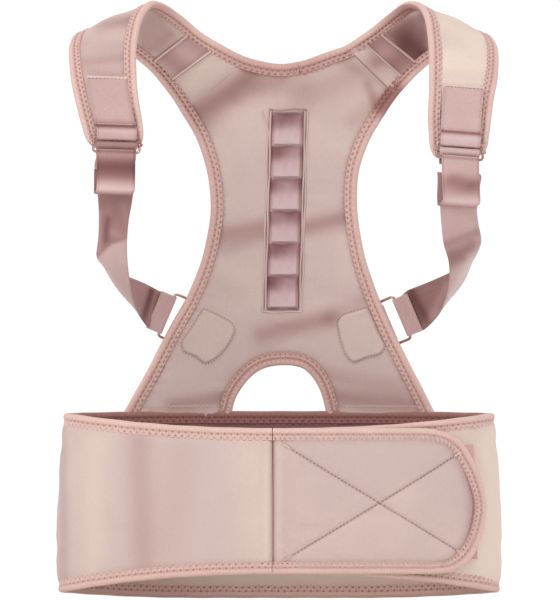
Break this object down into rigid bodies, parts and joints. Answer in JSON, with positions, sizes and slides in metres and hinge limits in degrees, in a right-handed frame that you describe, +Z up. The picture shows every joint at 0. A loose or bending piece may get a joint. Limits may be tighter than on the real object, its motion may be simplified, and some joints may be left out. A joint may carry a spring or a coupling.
{
  "type": "back brace",
  "caption": "Posture back brace with padded shoulder yokes, adjustable webbing straps, spine magnet pockets and a hook-and-loop waist belt.",
  "frame": {"origin": "middle of the brace's box in plan, at the bottom edge of the waist belt", "axes": "+Z up along the spine; the wearer faces -Y, so the belt closes at -Y and the back panel is at +Y; +X is to the right seen from the front"},
  "size_m": [0.3552, 0.1722, 0.4782],
  "materials": {
    "body_fabric": "matte knit laminated on foam",
    "binding_fabric": "ribbed elastic binding, coverstitched",
    "strap_webbing": "satin woven webbing",
    "spine_tape": "herringbone twill tape",
    "loop_fabric": "brushed loop pile",
    "hook_tape": "moulded hooks on tape",
    "rose_metal": "polished rose-tinted plating",
    "magnet_ferrite": "sintered ferrite, plated"
  },
  "bodies": {
    "back": {"arch_binding": "binding_fabric", "armhole_binding_left": "binding_fabric", "armhole_binding_right": "binding_fabric", "back_panel": "body_fabric", "belt_back": "body_fabric", "belt_back_bottom_binding": "binding_fabric", "belt_back_top_binding": "binding_fabric", "magnet_1": "magnet_ferrite", "magnet_2": "magnet_ferrite", "magnet_3": "magnet_ferrite", "magnet_4": "magnet_ferrite", "magnet_5": "magnet_ferrite", "magnet_6": "magnet_ferrite", "neck_binding": "binding_fabric", "spine_pocket_tape": "spine_tape", "strap_anchor_tab_left": "strap_webbing", "strap_anchor_tab_right": "strap_webbing", "strap_patch_left": "body_fabric", "strap_patch_right": "body_fabric"},
    "wing_left": {"belt_wing_left": "body_fabric", "wing_left_bottom_binding": "binding_fabric", "wing_left_top_binding": "binding_fabric"},
    "wing_right": {"belt_wing_right": "body_fabric", "loop_pad": "loop_fabric", "wing_right_bottom_binding": "binding_fabric", "wing_right_top_binding": "binding_fabric"},
    "closure_tab": {"closure_tab": "body_fabric", "hook_pad": "hook_tape", "tab_binding": "binding_fabric"},
    "shoulder_left": {"yoke_cross_tape_left": "strap_webbing", "yoke_inner_binding_left": "binding_fabric", "yoke_left": "body_fabric", "yoke_outer_binding_left": "binding_fabric", "yoke_webbing_patch_left": "strap_webbing"},
    "shoulder_right": {"yoke_cross_tape_right": "strap_webbing", "yoke_inner_binding_right": "binding_fabric", "yoke_outer_binding_right": "binding_fabric", "yoke_right": "body_fabric", "yoke_webbing_patch_right": "strap_webbing"},
    "slider_left": {"adjuster_strap_left": "strap_webbing", "slider_left": "rose_metal"},
    "tail_left": {"tail_loop_left": "strap_webbing"},
    "slider_right": {"adjuster_strap_right": "strap_webbing", "slider_right": "rose_metal"},
    "tail_right": {"tail_loop_right": "strap_webbing"},
    "ring_left": {"lower_ring_left": "rose_metal", "lower_strap_left": "strap_webbing"},
    "ring_right": {"lower_ring_right": "rose_metal", "lower_strap_right": "strap_webbing"}
  },
  "joints": [
    {"name": "wing_left_fold", "type": "hinge", "parent": "back", "child": "wing_left", "pos_m": [-0.1782, 0.00263, 0.075], "axis": [0, 0, -1], "range_deg": [0, 100]},
    {"name": "wing_right_fold", "type": "hinge", "parent": "back", "child": "wing_right", "pos_m": [0.1782, 0.00263, 0.075], "axis": [0, 0, 1], "range_deg": [0, 60]},
    {"name": "closure_tab_peel", "type": "hinge", "parent": "wing_left", "child": "closure_tab", "pos_m": [-0.00557, -0.07737, 0.0775], "axis": [0, 0, -1], "range_deg": [0, 100]},
    {"name": "shoulder_left_lift", "type": "hinge", "parent": "back", "child": "shoulder_left", "pos_m": [-0.0508, 0.07368, 0.4096], "axis": [-0.7668, 0.0371, -0.6409], "range_deg": [-12, 20]},
    {"name": "slider_left_tilt", "type": "hinge", "parent": "shoulder_left", "child": "slider_left", "pos_m": [-0.12985, -0.06388, 0.36871], "axis": [-0.9995, 0, 0.0323], "range_deg": [0, 22]},
    {"name": "strap_left_adjust", "type": "slide", "parent": "slider_left", "child": "tail_left", "axis": [-0.0322, -0.0851, -0.9958], "range_m": [0, 0.025]},
    {"name": "ring_left_swing", "type": "hinge", "parent": "back", "child": "ring_left", "pos_m": [-0.0798, 0.08126, 0.2224], "axis": [-0.3911, 0, -0.9203], "range_deg": [-8, 20]},
    {"name": "shoulder_right_lift", "type": "hinge", "parent": "back", "child": "shoulder_right", "pos_m": [0.0736, 0.06903, 0.4212], "axis": [-0.7137, -0.0249, 0.7], "range_deg": [-12, 20]},
    {"name": "slider_right_tilt", "type": "hinge", "parent": "shoulder_right", "child": "slider_right", "pos_m": [0.14514, -0.06423, 0.36363], "axis": [-0.9971, 0.0003, 0.0759], "range_deg": [0, 22]},
    {"name": "strap_right_adjust", "type": "slide", "parent": "slider_right", "child": "tail_right", "axis": [-0.0758, -0.0551, -0.9956], "range_m": [0, 0.025]},
    {"name": "ring_right_swing", "type": "hinge", "parent": "back", "child": "ring_right", "pos_m": [0.0886, 0.07982, 0.2204], "axis": [-0.3911, 0, 0.9203], "range_deg": [-8, 20]}
  ],
  "couplings": [
    {"joint": "wing_right_fold", "follows": "wing_left_fold", "ratio": 0.6}
  ]
}
